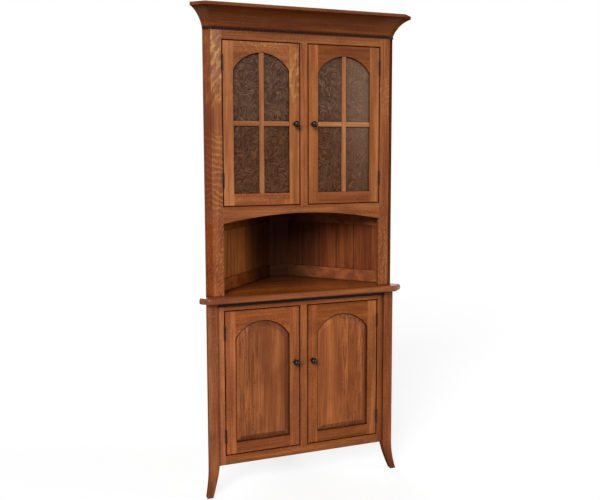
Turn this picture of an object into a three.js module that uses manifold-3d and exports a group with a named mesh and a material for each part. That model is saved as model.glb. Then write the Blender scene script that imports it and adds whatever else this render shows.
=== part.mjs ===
// Corner cupboard in two sections. The upper case has a coved crown, two glazed doors with arched
// heads and an open niche with grooved walls. The base has a counter, two doors with arched raised
// panels and two front legs that end in sabre feet. Its plan is a square corner with canted front
// ends and a blunt back corner.
// Millimetres, +Z up, front towards -Y, origin on the floor under the middle of its box.
// The pieces are drawn with y = 0 at the face of the upper case, and the whole is then shifted.
import * as THREE from 'three';
import { mergeVertices } from 'three/addons/utils/BufferGeometryUtils.js';
import Module from 'manifold-3d';

const wasm = await Module();
wasm.setup();

// Overall plan and height
const overallHeight = 2108;
const caseFrontWidth = 815;
const returnWidth = 40;
const backPanelWidth = 110;

// Stock
const frameThickness = 20;
const wallThickness = 16;
const shelfThickness = 20;
const postThickness = 24;
const frameStileWidth = 46;
const centreStileWidth = 35;

// Fits
const fitGap = 0.3;
const doorGap = 3.2;
const cutterOverrun = 5;

// Base
const counterHeight = 887;
const counterThickness = 28;
const counterFrontOverhang = 42;
const counterEndOverhang = 50;
const counterCornerEase = 14;
const counterEdgeRadius = 11;
const baseClearance = 130;
const baseSetback = 10;
const baseTopRailWidth = 39;
const baseBottomRailWidth = 42;
const stripHeight = 19;
const stripProjection = 7;

// Legs and sabre feet
const legWidth = 43.8;
const legDepth = 44;
const footHeight = 130;
const footFlare = 16;
const footTaper = 33;
const footFlarePower = 2;
const footTaperPower = 1.4;
const padRadius = 3;
const minLegCut = 0.5;

// Niche
const nicheHeight = 312;
const apronEndHeight = 72.5;
const apronRise = 38;
const nicheStileWidth = 70;
const skirtingHeight = 58;
const nicheTopRailWidth = 92;
const nicheFrameProjection = 4;
const plankWidth = 91;
const grooveWidth = 6;
const grooveDepth = 3;

// Crown
const topBoardThickness = 13;
const crownOverhang = 86.6;
const coveHeight = 72;
const coveBottomLip = 2.5;
const coveTopLip = 1.5;
const coveRadius = 125;
const coveBackHeight = 34;
const coveBackDepth = 40;
const beadHeight = 13;
const beadFlat = 0.5;
const friezeHeight = 38.5;

// Doors
const doorStileWidth = 44.8;
const doorArchRise = 74;
const pocketDepth = 8;
const upperBottomRail = 50.8;
const upperArchMargin = 45.3;
const lowerBottomRail = 49.8;
const lowerArchMargin = 50.8;
const lowerKnobHeight = 389.8;

// Glazing
const glassLip = 9;
const glassThickness = 4;
const barWidth = 22;
const barSetback = 2;
const barChamfer = 3;
const upperShelfSetback = 5;

// Raised panels
const panelLip = 8.5;
const tongueThickness = 7.5;
const fieldSetback = 1.5;
const fieldBevelWidth = 25;

// Knobs
const knobInset = 20;
const knobRadius = 14;
const knobCentre = 23;
const roseRadius = 9;
const roseThickness = 2;
const knobNeckRadius = 5.5;

// Hinges
const hingeLength = 60;
const hingeTipRadius = 2.6;
const hingeTipNeck = 1.2;
const barrelRadius = 3.1;
const barrelOffset = 3.7;
const middleKnuckle = 24;
const pinRadius = 1.3;
const leafThickness = 0.8;
const leafDepth = 16;
const upperHingeTopInset = 90.3;
const upperHingeBottomInset = 110.3;
const lowerHingeTopInset = 95.8;
const lowerHingeBottomInset = 84.8;

// Smoothness
const arcSteps = 10;
const edgeSteps = 3;
const counterSteps = 5;
const knobSteps = 20;
const barrelSteps = 12;
const footSteps = 8;

// Finishes
const finishes = {
  oak: { color: 0x9a5a30, roughness: 0.45, metalness: 0 },
  doorOak: { color: 0xa8642f, roughness: 0.42, metalness: 0 },
  darkOak: { color: 0x6b3d22, roughness: 0.6, metalness: 0 },
  ebonised: { color: 0x17120f, roughness: 0.35, metalness: 0 },
  glass: { color: 0x6f665c, roughness: 0.15, metalness: 0 },
  blackMetal: { color: 0x121212, roughness: 0.3, metalness: 0.6 },
};

// Plan lines. A wall runs from its front end by the return to the blunt back corner.
const slant = Math.SQRT1_2;
const mitreTan = Math.tan(Math.PI / 8);
const frontHalf = caseFrontWidth / 2;
const returnRun = returnWidth * slant;
const backHalf = backPanelWidth / 2;
const wallFront = new THREE.Vector2(frontHalf + returnRun, returnRun);
const wallSum = wallFront.x + wallFront.y;
const caseDepth = wallSum - backHalf;
const wallRun = (wallFront.x - backHalf) / slant;
const innerSum = wallSum - wallThickness / slant;
const openingHalf = frontHalf - frameStileWidth;
const mitreInnerX = frontHalf - frameThickness * mitreTan;
const legInner = wallFront.x - legWidth;

// Heights
const counterUnder = counterHeight - counterThickness;
const lowerOpeningBottom = baseClearance + baseBottomRailWidth;
const lowerOpeningTop = counterUnder - baseTopRailWidth;
const nicheTop = counterHeight + nicheHeight;
const upperOpeningBottom = nicheTop + apronEndHeight;
const topBoardUnder = overallHeight - topBoardThickness;
const coveBottom = topBoardUnder - coveHeight;
const beadBottom = coveBottom - beadHeight;
const upperOpeningTop = beadBottom - friezeHeight;
const cabinetFloorUnder = upperOpeningBottom - shelfThickness;

// Both kinds of door fill their opening less the gap all round
const doorMeetingX = centreStileWidth / 2 + doorGap;
const doorHingeX = openingHalf - doorGap;
const archLeft = doorMeetingX + doorStileWidth;
const archRight = doorHingeX - doorStileWidth;
const archHalf = (archRight - archLeft) / 2;
const archRadius = (archHalf ** 2 + doorArchRise ** 2) / (2 * doorArchRise);
const hingeAxisX = openingHalf - doorGap / 2;

const upperDoorHeight = upperOpeningTop - upperOpeningBottom - 2 * doorGap;
const upperDoor = {
  face: 0,
  bottom: upperOpeningBottom + doorGap,
  height: upperDoorHeight,
  bottomRail: upperBottomRail,
  archTop: upperDoorHeight - upperArchMargin,
  hingeHeights: [upperHingeBottomInset, upperDoorHeight - upperHingeTopInset],
};
const glassMiddle = (upperDoor.bottomRail + upperDoor.archTop) / 2;

const lowerDoorHeight = lowerOpeningTop - lowerOpeningBottom - 2 * doorGap;
const lowerDoor = {
  face: baseSetback,
  bottom: lowerOpeningBottom + doorGap,
  height: lowerDoorHeight,
  bottomRail: lowerBottomRail,
  archTop: lowerDoorHeight - lowerArchMargin,
  hingeHeights: [lowerHingeBottomInset, lowerDoorHeight - lowerHingeTopInset],
};

const sides = [
  ['left', -1],
  ['right', 1],
];
const hingeNames = ['bottom', 'top'];

const cupboard = new THREE.Group();
cupboard.position.y = -(caseDepth - crownOverhang) / 2;

// Adds a named piece with a material of its own.
function add(group, name, finish, geometry) {
  const mesh = new THREE.Mesh(geometry, new THREE.MeshStandardMaterial(finishes[finish]));
  mesh.name = name;
  group.add(mesh);
}

// Keeps a right-hand shape as it is, or mirrors it to the left with its faces still outwards.
function sided(geometry, side) {
  if (side > 0) {
    return geometry;
  }
  const flipped = geometry.index ? geometry.toNonIndexed() : geometry.clone();
  flipped.scale(side, 1, 1);
  const position = flipped.attributes.position;
  const second = new THREE.Vector3();
  const third = new THREE.Vector3();
  for (let corner = 0; corner < position.count; corner += 3) {
    second.fromBufferAttribute(position, corner + 1);
    third.fromBufferAttribute(position, corner + 2);
    position.setXYZ(corner + 1, third.x, third.y, third.z);
    position.setXYZ(corner + 2, second.x, second.y, second.z);
  }
  flipped.computeVertexNormals();
  return flipped;
}

// Turns a closed geometry into a solid, leaving out the flat triangles at the poles of a lathe.
function toSolid(geometry) {
  const bare = geometry.clone();
  bare.deleteAttribute('normal');
  bare.deleteAttribute('uv');
  const merged = mergeVertices(bare);
  const kept = [];
  for (let corner = 0; corner < merged.index.count; corner += 3) {
    const triangle = [0, 1, 2].map((step) => merged.index.getX(corner + step));
    if (new Set(triangle).size === triangle.length) {
      kept.push(...triangle);
    }
  }
  return new wasm.Manifold(new wasm.Mesh({
    numProp: 3,
    vertProperties: merged.attributes.position.array,
    triVerts: new Uint32Array(kept),
  }));
}

function toGeometry(solid) {
  const mesh = solid.getMesh();
  const indexed = new THREE.BufferGeometry();
  indexed.setAttribute('position', new THREE.BufferAttribute(mesh.vertProperties, 3));
  indexed.setIndex(new THREE.BufferAttribute(mesh.triVerts, 1));
  const geometry = indexed.toNonIndexed();
  geometry.computeVertexNormals();
  return geometry;
}

function join(...geometries) {
  return toGeometry(geometries.map(toSolid).reduce((sum, next) => sum.add(next)));
}

function cut(geometry, cutter) {
  return toGeometry(toSolid(geometry).subtract(toSolid(cutter)));
}

function overlap(geometry, other) {
  return toGeometry(toSolid(geometry).intersect(toSolid(other)));
}

function box([x0, x1], [y0, y1], [z0, z1]) {
  const geometry = new THREE.BoxGeometry(x1 - x0, y1 - y0, z1 - z0);
  return geometry.translate((x0 + x1) / 2, (y0 + y1) / 2, (z0 + z1) / 2);
}

function outline(points) {
  return new THREE.Shape(points.map(([x, y]) => new THREE.Vector2(x, y)));
}

// A flat plan outline raised from one height to another.
function raised(shape, [z0, z1]) {
  const geometry = new THREE.ExtrudeGeometry(shape, {
    depth: z1 - z0,
    bevelEnabled: false,
    curveSegments: arcSteps,
  });
  return geometry.translate(0, 0, z0);
}

// A standing outline, drawn in x and z, that runs from its front face to its back face.
function standing(shape, [y0, y1]) {
  const geometry = new THREE.ExtrudeGeometry(shape, {
    depth: y1 - y0,
    bevelEnabled: false,
    curveSegments: arcSteps,
  });
  return geometry.rotateX(Math.PI / 2).translate(0, y1, 0);
}

// Carries an outline on to a point by an arc of the given radius, under half a turn.
function arcTo(shape, x, y, radius, clockwise) {
  const start = shape.currentPoint.clone();
  const chord = new THREE.Vector2(x, y).sub(start);
  const reach = Math.sqrt(radius ** 2 - chord.lengthSq() / 4);
  const towards = new THREE.Vector2(-chord.y, chord.x).setLength(clockwise ? -reach : reach);
  const centre = start.clone().addScaledVector(chord, 0.5).add(towards);
  const startAngle = Math.atan2(start.y - centre.y, start.x - centre.x);
  const endAngle = Math.atan2(y - centre.y, x - centre.x);
  shape.absarc(centre.x, centre.y, radius, startAngle, endAngle, clockwise);
}

// Runs a moulding, drawn as overhang and height, along the canted ends and the front of the case in
// one length. It is mitred at the corners and cut square where it meets the walls.
function moulding(profile) {
  const stations = [
    { point: wallFront, splay: new THREE.Vector2(slant, -slant) },
    { point: new THREE.Vector2(frontHalf, 0), splay: new THREE.Vector2(mitreTan, -1) },
    { point: new THREE.Vector2(-frontHalf, 0), splay: new THREE.Vector2(-mitreTan, -1) },
    { point: new THREE.Vector2(-wallFront.x, wallFront.y), splay: new THREE.Vector2(-slant, -slant) },
  ];
  const spans = stations.length - 1;
  const geometry = new THREE.ExtrudeGeometry(profile, {
    depth: 1,
    steps: spans,
    bevelEnabled: false,
    curveSegments: arcSteps,
  });
  const position = geometry.attributes.position;
  for (let at = 0; at < position.count; at += 1) {
    const { point, splay } = stations[Math.round(position.getZ(at) * spans)];
    const place = point.clone().addScaledVector(splay, position.getX(at));
    position.setXYZ(at, place.x, place.y, position.getY(at));
  }
  geometry.computeVertexNormals();
  return geometry;
}

// Plan outline of a board between the walls, cut square at its front corners.
function boardOutline(frontY, sideX, backY) {
  const backX = innerSum - fitGap / slant - backY;
  const sideY = innerSum - fitGap / slant - sideX;
  return outline([
    [-sideX, frontY],
    [sideX, frontY],
    [sideX, sideY],
    [backX, backY],
    [-backX, backY],
    [-sideX, sideY],
  ]);
}

// Plan outline of a shelf that overhangs the front and the returns, and runs back to the walls or
// past them.
function overhangOutline(frontOverhang, endOverhang, cornerEase, wallOverrun) {
  const cornerX = frontHalf + endOverhang / slant - frontOverhang;
  const tip = wallFront.clone()
    .addScaledVector(new THREE.Vector2(slant, -slant), endOverhang)
    .addScaledVector(new THREE.Vector2(slant, slant), wallOverrun);
  const backX = backHalf + wallOverrun * mitreTan;
  const backY = caseDepth + wallOverrun;
  return roundedOutline([
    [-cornerX, -frontOverhang, cornerEase],
    [cornerX, -frontOverhang, cornerEase],
    [tip.x, tip.y, 0],
    [backX, backY, 0],
    [-backX, backY, 0],
    [-tip.x, tip.y, 0],
  ]);
}

// Straight outline whose corners are eased over the given length of each side.
function roundedOutline(corners) {
  const points = corners.map(([x, y]) => new THREE.Vector2(x, y));
  const shape = new THREE.Shape();
  corners.forEach(([x, y, ease], at) => {
    const before = points.at(at - 1).clone().sub(points[at]).setLength(ease);
    const after = points[(at + 1) % points.length].clone().sub(points[at]).setLength(ease);
    const entry = before.add(points[at]);
    const exit = after.add(points[at]);
    if (at === 0) {
      shape.moveTo(entry.x, entry.y);
    } else {
      shape.lineTo(entry.x, entry.y);
    }
    if (ease > 0) {
      shape.quadraticCurveTo(x, y, exit.x, exit.y);
    }
  });
  return shape;
}

// One leg with its foot. The outer and front faces sweep outwards to the floor, the other two
// sweep further the same way, and the corner by the wall is cut off along the wall.
function legGeometry() {
  const sections = [];
  for (let step = 0; step <= edgeSteps; step += 1) {
    const turn = (step / edgeSteps) * (Math.PI / 2);
    sections.push({ z: padRadius * (1 - Math.cos(turn)), inset: padRadius * (1 - Math.sin(turn)) });
  }
  for (let step = 1; step <= footSteps; step += 1) {
    sections.push({ z: padRadius + ((footHeight - padRadius) * step) / footSteps, inset: 0 });
  }
  sections.push({ z: counterUnder, inset: 0 });

  const corners = outline([[0, 0], [1, 0], [1, 0.5], [0.5, 1], [0, 1]]);
  const geometry = new THREE.ExtrudeGeometry(corners, {
    depth: 1,
    steps: sections.length - 1,
    bevelEnabled: false,
  });
  const pick = (share, low, high, cutBack) => {
    if (share === 0) {
      return low;
    }
    return share === 1 ? high : high - cutBack;
  };
  const position = geometry.attributes.position;
  for (let at = 0; at < position.count; at += 1) {
    const { z, inset } = sections[Math.round(position.getZ(at) * (sections.length - 1))];
    const drop = Math.max(footHeight - z, 0) / footHeight;
    const flare = footFlare * drop ** footFlarePower;
    const taper = footTaper * drop ** footTaperPower;
    const inner = legInner + taper + inset;
    const outer = wallFront.x + flare - inset;
    const front = inset - flare;
    const rear = legDepth - taper - inset;
    const cutBack = Math.max(outer + rear - wallSum, minLegCut);
    const x = pick(position.getX(at), inner, outer, cutBack);
    const y = pick(position.getY(at), front, rear, cutBack);
    position.setXYZ(at, x, y, z);
  }
  geometry.computeVertexNormals();
  return geometry;
}

// Plan point on the right wall, by its distance along the wall and in from its outer face.
function wallPoint(along, inward) {
  return [
    wallFront.x - (along + inward) * slant,
    wallFront.y + (along - inward) * slant,
  ];
}

// Plan outline of a wall with V grooves between its planks. Its front end leans back by the given
// slope, and its other end is mitred against the back corner board.
function wallOutline(start, startSlope, firstGroove) {
  const end = wallRun - fitGap;
  const innerEnd = end - wallThickness * mitreTan;
  const grooves = [];
  for (let at = firstGroove; at < innerEnd - grooveWidth; at += plankWidth) {
    grooves.unshift(at);
  }
  return outline([
    wallPoint(start, 0),
    wallPoint(end, 0),
    wallPoint(innerEnd, wallThickness),
    ...grooves.flatMap((at) => [
      wallPoint(at + grooveWidth / 2, wallThickness),
      wallPoint(at, wallThickness - grooveDepth),
      wallPoint(at - grooveWidth / 2, wallThickness),
    ]),
    wallPoint(start + startSlope * wallThickness, wallThickness),
  ]);
}

// A strip of the niche's frame, proud of the planks and let into them.
function wallStrip(start, end, endSlope, heights) {
  const proud = wallThickness + nicheFrameProjection;
  const letIn = wallThickness / 2;
  const strip = outline([
    wallPoint(start, letIn),
    wallPoint(end - endSlope * letIn, letIn),
    wallPoint(end - endSlope * proud, proud),
    wallPoint(start, proud),
  ]);
  return raised(strip, heights);
}

// Back corner board between the two walls, with its slanted edges mitred against them.
function backOutline(thickness) {
  const innerHalf = backHalf - wallThickness * mitreTan;
  return outline([
    [-backHalf, caseDepth],
    [-innerHalf, caseDepth - wallThickness],
    [-innerHalf, caseDepth - thickness],
    [innerHalf, caseDepth - thickness],
    [innerHalf, caseDepth - wallThickness],
    [backHalf, caseDepth],
  ]);
}

// A strip of the niche's frame across the back corner board, between the ends of the walls' strips.
function backStrip(heights) {
  const proud = wallThickness + nicheFrameProjection;
  const letIn = wallThickness / 2;
  const edge = (inward) => [backHalf - inward * mitreTan, caseDepth - inward];
  const [outerX, outerY] = edge(letIn);
  const [innerX, innerY] = edge(proud);
  const corners = [[-outerX, outerY], [-innerX, innerY], [innerX, innerY], [outerX, outerY]];
  return raised(outline(corners), heights);
}

// Door outline inside the stiles and rails, with an arched head, grown or shrunk all round.
function archedOutline(door, grow) {
  const side = archHalf + grow;
  const middle = (archLeft + archRight) / 2;
  const radius = archRadius + grow;
  const spring = door.archTop - archRadius + Math.sqrt(radius ** 2 - side ** 2);
  const shape = new THREE.Shape();
  shape.moveTo(middle - side, door.bottomRail - grow);
  shape.lineTo(middle + side, door.bottomRail - grow);
  shape.lineTo(middle + side, spring);
  arcTo(shape, middle - side, spring, radius, false);
  return shape;
}

// The arched rail at the head of a door.
function archedRail(door) {
  const spring = door.archTop - doorArchRise;
  const shape = new THREE.Shape();
  shape.moveTo(archRight, door.height);
  shape.lineTo(archLeft, door.height);
  shape.lineTo(archLeft, spring);
  arcTo(shape, archRight, spring, archRadius, true);
  return standing(shape, [0, frameThickness]);
}

// Glazing bar with eased front arrises, drawn along z and centred on its axis.
function glazingBar(length) {
  const half = barWidth / 2;
  const section = outline([
    [-half, glassLip],
    [-half, barSetback + barChamfer],
    [barChamfer - half, barSetback],
    [half - barChamfer, barSetback],
    [half, barSetback + barChamfer],
    [half, glassLip],
  ]);
  return raised(section, [-length / 2, length / 2]);
}

// The cross of glazing bars, scribed to the opening.
function glazingCross(door) {
  const middle = (archLeft + archRight) / 2;
  const upright = glazingBar(door.height).translate(middle, 0, door.height / 2);
  const across = glazingBar(door.height).rotateY(Math.PI / 2).translate(middle, 0, glassMiddle);
  const opening = standing(archedOutline(door, -fitGap), [0, frameThickness]);
  return overlap(join(upright, across), opening);
}

// Raised panel: a tongue all round, and a field that rises to the front over a wide bevel. The slab
// trims off the second bevel behind.
function raisedPanel(door) {
  const tongueFront = panelLip + fitGap;
  const tongueBack = panelLip + tongueThickness - fitGap;
  const tongue = standing(archedOutline(door, pocketDepth - fitGap), [tongueFront, tongueBack]);
  const field = new THREE.ExtrudeGeometry(archedOutline(door, -fitGap), {
    depth: tongueThickness,
    bevelEnabled: true,
    bevelThickness: tongueFront - fieldSetback + fitGap,
    bevelSize: fieldBevelWidth,
    bevelOffset: -fieldBevelWidth,
    bevelSegments: 1,
    curveSegments: arcSteps,
  });
  field.rotateX(Math.PI / 2);
  field.computeBoundingBox();
  field.translate(0, fieldSetback - field.boundingBox.min.y, 0);
  const slab = standing(archedOutline(door, pocketDepth), [0, tongueBack - fitGap]);
  return join(tongue, overlap(field, slab));
}

// Turned pull with a rose, a neck and a ball, pointing out of the door's face.
function knobGeometry() {
  const meet = knobCentre - Math.sqrt(knobRadius ** 2 - knobNeckRadius ** 2);
  const profile = new THREE.Path();
  profile.moveTo(0, 0);
  profile.lineTo(roseRadius, 0);
  profile.lineTo(roseRadius, roseThickness);
  profile.quadraticCurveTo(knobNeckRadius, roseThickness, knobNeckRadius, meet);
  const startAngle = Math.atan2(meet - knobCentre, knobNeckRadius);
  profile.absarc(0, knobCentre, knobRadius, startAngle, Math.PI / 2, false);
  const points = profile.getPoints(edgeSteps + 1);
  points.at(-1).x = 0;
  return new THREE.LatheGeometry(points, knobSteps).rotateX(Math.PI);
}

// Fixed half of a butt hinge: end knuckles, ball tips and pin in one turning, and its leaf in the
// gap beside the case. Drawn around the pin's middle.
function fixedHinge() {
  const end = hingeLength / 2;
  const inner = middleKnuckle / 2 + fitGap;
  const profile = new THREE.Path();
  const tipReach = Math.sqrt(hingeTipRadius ** 2 - hingeTipNeck ** 2);
  const tipAngle = Math.atan2(tipReach, hingeTipNeck);
  profile.absarc(0, -end - tipReach, hingeTipRadius, -Math.PI / 2, tipAngle, false);
  profile.lineTo(barrelRadius, -end);
  profile.lineTo(barrelRadius, -inner);
  profile.lineTo(pinRadius, -inner);
  const lower = profile.getPoints(edgeSteps);
  lower[0].x = 0;
  const upper = lower.map((point) => new THREE.Vector2(point.x, -point.y)).reverse();
  const turned = new THREE.LatheGeometry([...lower, ...upper], barrelSteps).rotateX(Math.PI / 2);
  const leafX = [doorGap / 2 - leafThickness, doorGap / 2];
  const leaf = box(leafX, [barrelOffset, barrelOffset + leafDepth], [-end, end]);
  const tongueY = [pinRadius, barrelOffset + leafThickness];
  return join(turned, leaf, box(leafX, tongueY, [-end, -inner]), box(leafX, tongueY, [inner, end]));
}

// Moving half of a butt hinge: the middle knuckle, bored for the pin, and a leaf that is let into
// the edge of the door.
function movingHinge() {
  const end = hingeLength / 2;
  const half = middleKnuckle / 2;
  const bore = pinRadius + fitGap;
  const ring = [[bore, -half], [barrelRadius, -half], [barrelRadius, half], [bore, half], [bore, -half]];
  const points = ring.map(([x, y]) => new THREE.Vector2(x, y));
  const knuckle = new THREE.LatheGeometry(points, barrelSteps).rotateX(Math.PI / 2);
  const leafX = [-doorGap / 2 - leafThickness, leafThickness - doorGap / 2];
  const leaf = box(leafX, [barrelOffset + fitGap, barrelOffset + leafDepth], [-end, end]);
  const tongueX = [-doorGap / 2, leafThickness - doorGap / 2];
  const tongueY = [(bore + barrelRadius) / 2, barrelOffset + leafThickness];
  return join(knuckle, leaf, box(tongueX, tongueY, [-half, half]));
}

// Stiles and rails of a door, all let in by the same pocket for the glass or the panel. The hinge
// stile carries the moving hinge halves.
function addDoorFrame(group, label, side, door, pocket) {
  const through = [0, frameThickness];
  const hinges = door.hingeHeights.map((height) => (
    movingHinge().translate(hingeAxisX, -barrelOffset, height)
  ));
  const hingeStile = box([archRight, doorHingeX], through, [0, door.height]);
  const members = {
    hinge_stile: join(cut(hingeStile, pocket), ...hinges),
    meeting_stile: cut(box([doorMeetingX, archLeft], through, [0, door.height]), pocket),
    bottom_rail: cut(box([archLeft, archRight], through, [0, door.bottomRail]), pocket),
    top_rail: cut(archedRail(door), pocket),
  };
  for (const [name, geometry] of Object.entries(members)) {
    add(group, `${label}_${name}`, 'doorOak', sided(geometry, side));
  }
}

// A door's knob, and the hinge halves that the case carries for it.
function addDoorHardware(group, label, side, door, knobHeight) {
  const knob = knobGeometry().translate(doorMeetingX + knobInset, 0, knobHeight);
  add(group, `${label}_knob`, 'blackMetal', sided(knob, side));
  door.hingeHeights.forEach((height, at) => {
    const hinge = fixedHinge().translate(hingeAxisX, -barrelOffset, height);
    add(group, `${label}_hinge_${hingeNames[at]}`, 'blackMetal', sided(hinge, side));
  });
}

function addGlazedDoor(side, label) {
  const group = new THREE.Group();
  group.position.set(0, upperDoor.face, upperDoor.bottom);
  const pocketY = [glassLip, frameThickness + cutterOverrun];
  const pocket = standing(archedOutline(upperDoor, pocketDepth), pocketY);
  addDoorFrame(group, label, side, upperDoor, pocket);
  const glassY = [glassLip + fitGap, glassLip + fitGap + glassThickness];
  const pane = standing(archedOutline(upperDoor, pocketDepth - fitGap), glassY);
  add(group, `${label}_glass`, 'glass', sided(pane, side));
  add(group, `${label}_glazing_bars`, 'doorOak', sided(glazingCross(upperDoor), side));
  addDoorHardware(group, label, side, upperDoor, glassMiddle);
  cupboard.add(group);
}

function addPanelDoor(side, label) {
  const group = new THREE.Group();
  group.position.set(0, lowerDoor.face, lowerDoor.bottom);
  const grooveY = [panelLip, panelLip + tongueThickness];
  const pocket = standing(archedOutline(lowerDoor, pocketDepth), grooveY);
  addDoorFrame(group, label, side, lowerDoor, pocket);
  add(group, `${label}_panel`, 'doorOak', sided(raisedPanel(lowerDoor), side));
  addDoorHardware(group, label, side, lowerDoor, lowerKnobHeight);
  cupboard.add(group);
}

function addBase() {
  const frameY = [baseSetback, baseSetback + frameThickness];
  const boardFront = frameY[1];
  const boardSide = legInner - fitGap;
  const boardBack = caseDepth - postThickness - fitGap;
  const caseZ = [baseClearance, counterUnder];
  const legBack = (legDepth + fitGap - wallFront.y) / slant;

  for (const [name, side] of sides) {
    add(cupboard, `front_leg_${name}`, 'oak', sided(legGeometry(), side));
    const stile = box([openingHalf, legInner], frameY, caseZ);
    add(cupboard, `base_stile_${name}`, 'oak', sided(stile, side));
    const wall = raised(wallOutline(legBack, 1, plankWidth), caseZ);
    add(cupboard, `base_wall_${name}`, 'darkOak', sided(wall, side));
  }
  const centreHalf = centreStileWidth / 2;
  const railX = [-openingHalf, openingHalf];
  const centre = box([-centreHalf, centreHalf], frameY, [lowerOpeningBottom, lowerOpeningTop]);
  add(cupboard, 'base_centre_stile', 'oak', centre);
  add(cupboard, 'base_top_rail', 'oak', box(railX, frameY, [lowerOpeningTop, counterUnder]));
  add(cupboard, 'base_bottom_rail', 'oak', box(railX, frameY, [baseClearance, lowerOpeningBottom]));
  const stripY = [baseSetback - stripProjection, baseSetback];
  const strip = box([-legInner, legInner], stripY, [counterUnder - stripHeight, counterUnder]);
  add(cupboard, 'counter_strip', 'ebonised', strip);
  add(cupboard, 'rear_post', 'darkOak', raised(backOutline(postThickness), [0, counterUnder]));
  const floorZ = [lowerOpeningBottom - shelfThickness, lowerOpeningBottom];
  const floor = raised(boardOutline(boardFront, boardSide, boardBack), floorZ);
  add(cupboard, 'base_floor', 'darkOak', floor);
  add(cupboard, 'counter_top', 'oak', counterGeometry());
}

// The counter. Its front and its ends are rounded over, and its back is cut square at the walls.
function counterGeometry() {
  const past = counterEdgeRadius + cutterOverrun;
  const blank = overhangOutline(counterFrontOverhang, counterEndOverhang, counterCornerEase, past);
  const rounded = new THREE.ExtrudeGeometry(blank, {
    depth: counterThickness - 2 * counterEdgeRadius,
    bevelEnabled: true,
    bevelThickness: counterEdgeRadius,
    bevelSize: counterEdgeRadius,
    bevelOffset: -counterEdgeRadius,
    bevelSegments: counterSteps,
    curveSegments: counterSteps,
  });
  rounded.translate(0, 0, counterUnder + counterEdgeRadius);
  const kept = overhangOutline(counterFrontOverhang + past, counterEndOverhang + past, 0, 0);
  return overlap(rounded, raised(kept, [counterUnder - cutterOverrun, counterHeight + cutterOverrun]));
}

// Corner post of the upper case: the front stile and the canted return, glued at their mitre.
function cornerPostOutline() {
  const inward = frameThickness * slant;
  return outline([
    [openingHalf, 0],
    [frontHalf, 0],
    [wallFront.x, wallFront.y],
    [wallFront.x - inward, wallFront.y + inward],
    [mitreInnerX, frameThickness],
    [openingHalf, frameThickness],
  ]);
}

function addUpperCase() {
  const frameY = [0, frameThickness];
  const caseZ = [counterHeight, topBoardUnder];
  const skirtingZ = [counterHeight, counterHeight + skirtingHeight];
  const nicheRailZ = [cabinetFloorUnder - nicheTopRailWidth, cabinetFloorUnder];
  const wallStart = frameThickness + fitGap;
  const wallEnd = wallRun - fitGap;
  const stileEnd = frameThickness + nicheStileWidth;

  for (const [name, side] of sides) {
    add(cupboard, `corner_post_${name}`, 'oak', sided(raised(cornerPostOutline(), caseZ), side));
    const wall = join(
      raised(wallOutline(wallStart, 0, stileEnd + plankWidth), caseZ),
      wallStrip(wallStart, stileEnd, 0, [counterHeight, cabinetFloorUnder]),
      wallStrip(wallStart, wallEnd, mitreTan, skirtingZ),
      wallStrip(wallStart, wallEnd, mitreTan, nicheRailZ),
    );
    add(cupboard, `upper_wall_${name}`, 'darkOak', sided(wall, side));
  }

  const centreHalf = centreStileWidth / 2;
  const railX = [-openingHalf, openingHalf];
  const centre = box([-centreHalf, centreHalf], frameY, [upperOpeningBottom, upperOpeningTop]);
  add(cupboard, 'upper_centre_stile', 'oak', centre);
  add(cupboard, 'upper_top_rail', 'oak', box(railX, frameY, [upperOpeningTop, topBoardUnder]));
  add(cupboard, 'apron_rail', 'oak', apronGeometry());
  const backBoard = raised(backOutline(wallThickness), caseZ);
  const backPanel = join(backBoard, backStrip(skirtingZ), backStrip(nicheRailZ));
  add(cupboard, 'upper_back_panel', 'darkOak', backPanel);
  const boardSide = mitreInnerX - fitGap;
  const boardBack = caseDepth - wallThickness - fitGap;
  const floorZ = [cabinetFloorUnder, upperOpeningBottom];
  const cabinetFloor = raised(boardOutline(frameThickness, boardSide, boardBack), floorZ);
  add(cupboard, 'cabinet_floor', 'darkOak', cabinetFloor);
  const shelfMiddle = upperDoor.bottom + glassMiddle;
  const shelfZ = [shelfMiddle - shelfThickness / 2, shelfMiddle + shelfThickness / 2];
  const shelfFront = frameThickness + upperShelfSetback;
  const shelf = raised(boardOutline(shelfFront, boardSide, boardBack), shelfZ);
  add(cupboard, 'upper_shelf', 'darkOak', shelf);
}

// Arched rail over the niche.
function apronGeometry() {
  const radius = (openingHalf ** 2 + apronRise ** 2) / (2 * apronRise);
  const shape = new THREE.Shape();
  shape.moveTo(openingHalf, upperOpeningBottom);
  shape.lineTo(-openingHalf, upperOpeningBottom);
  shape.lineTo(-openingHalf, nicheTop);
  arcTo(shape, openingHalf, nicheTop, radius, true);
  return standing(shape, [0, frameThickness]);
}

// Sprung cove: hollow curve in front, flat seats against the case and the top board, slanted back.
function coveProfile() {
  const shape = new THREE.Shape();
  shape.moveTo(fitGap, coveBottom);
  shape.lineTo(coveBottomLip, coveBottom);
  arcTo(shape, crownOverhang - coveTopLip, topBoardUnder, coveRadius, true);
  shape.lineTo(coveBackDepth, topBoardUnder);
  shape.lineTo(fitGap, coveBottom + coveBackHeight);
  return shape;
}

// Half-round bead on a short flat.
function beadProfile() {
  const shape = new THREE.Shape();
  shape.moveTo(fitGap, beadBottom);
  shape.lineTo(beadFlat, beadBottom);
  shape.absarc(beadFlat, beadBottom + beadHeight / 2, beadHeight / 2, -Math.PI / 2, Math.PI / 2, false);
  shape.lineTo(fitGap, coveBottom);
  return shape;
}

function addCrown() {
  add(cupboard, 'crown_cove', 'oak', moulding(coveProfile()));
  add(cupboard, 'crown_bead', 'ebonised', moulding(beadProfile()));
  const topOutline = overhangOutline(crownOverhang, crownOverhang, 0, 0);
  add(cupboard, 'top_board', 'oak', raised(topOutline, [topBoardUnder, overallHeight]));
}

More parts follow.
